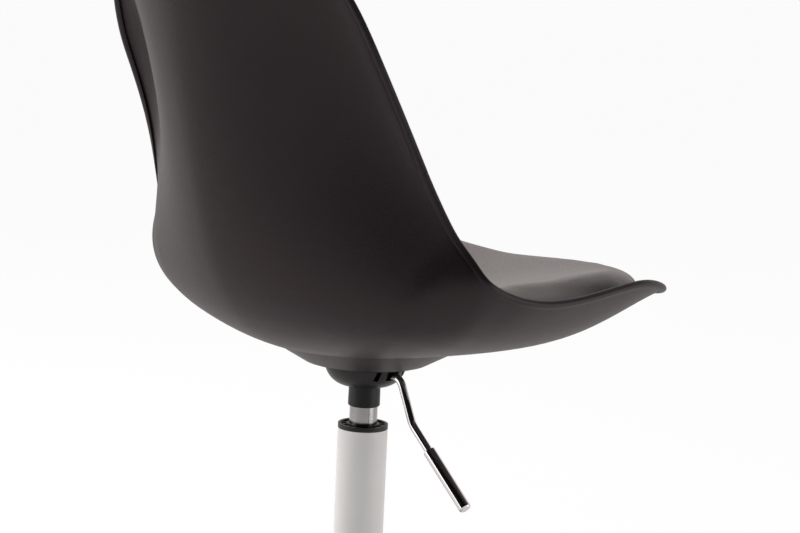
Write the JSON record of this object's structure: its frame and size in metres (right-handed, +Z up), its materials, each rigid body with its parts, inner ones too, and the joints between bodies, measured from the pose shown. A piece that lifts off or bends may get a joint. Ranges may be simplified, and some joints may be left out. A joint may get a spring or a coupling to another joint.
{
  "type": "swivel dining chair",
  "caption": "Swivel dining chair: moulded bucket seat with a grey pad, gas-lift column with a release lever, white column tube and star base on glides.",
  "frame": {"origin": "on the floor, on the swivel axis", "axes": "+Z up along the swivel axis; the sitter faces -Y; the sitter's right hand and the lever are on -X"},
  "size_m": [0.64, 0.64, 0.8276],
  "materials": {
    "shell_plastic": "charcoal, fine moulded texture, satin",
    "pad_cover": "warm grey imitation leather, fine grain",
    "board": "hidden carrier board",
    "zinc_steel": "zinc plated",
    "black_metal": "black powder coat",
    "black_plastic": "black moulded plastic",
    "chrome_lever": "polished chrome",
    "gas_steel": "ground steel",
    "seal_rubber": "black rubber",
    "white_metal": "white powder coat, satin",
    "glide_plastic": "black nylon"
  },
  "bodies": {
    "base": {"star_base": "white_metal", "floor_glide_1": "glide_plastic", "floor_glide_2": "glide_plastic", "floor_glide_3": "glide_plastic", "floor_glide_4": "glide_plastic", "glide_studs": "zinc_steel", "column_tube": "white_metal", "guide_bush": "black_plastic", "floor_plate": "gas_steel", "bearing_lower_race": "gas_steel", "bearing_balls": "gas_steel", "bearing_cage": "black_plastic"},
    "spindle": {"piston_rod": "gas_steel", "piston": "gas_steel", "piston_seal": "seal_rubber", "bearing_upper_race": "gas_steel", "bump_stop": "seal_rubber", "clip_washer": "zinc_steel", "retaining_clip": "zinc_steel"},
    "seat": {"gas_cylinder": "gas_steel", "valve_body": "black_plastic", "rod_guide": "gas_steel", "taper_socket": "black_metal", "pivot_lugs": "black_metal", "lever_pin": "zinc_steel", "mounting_plate": "black_metal", "plate_bolts": "zinc_steel", "bolt_washers": "zinc_steel", "shell_inserts": "zinc_steel", "plate_cover": "black_plastic", "cover_screws": "zinc_steel", "seat_shell": "shell_plastic", "pad_board": "board", "seat_pad": "pad_cover"},
    "lever": {"lever_rod": "chrome_lever", "lever_handle": "chrome_lever"},
    "valve": {"valve_pin": "gas_steel"}
  },
  "joints": [
    {"name": "seat_swivel", "type": "hinge", "parent": "base", "child": "spindle", "pos_m": [0, 0, 0.07], "axis": [0, 0, 1], "continuous": true},
    {"name": "seat_lift", "type": "slide", "parent": "spindle", "child": "seat", "axis": [0, 0, 1], "range_m": [0, 0.1]},
    {"name": "lever_pivot", "type": "hinge", "parent": "seat", "child": "lever", "pos_m": [-0.024, 0, 0.361], "axis": [0, 1, 0], "range_deg": [0, 7], "stiffness_Nm_per_rad": 0.6, "springref_deg": -8.59},
    {"name": "valve_press", "type": "slide", "parent": "seat", "child": "valve", "axis": [0, 0, -1], "range_m": [0, 0.003]}
  ],
  "couplings": [
    {"joint": "valve_press", "follows": "lever_pivot", "m_per_rad": 0.024}
  ]
}
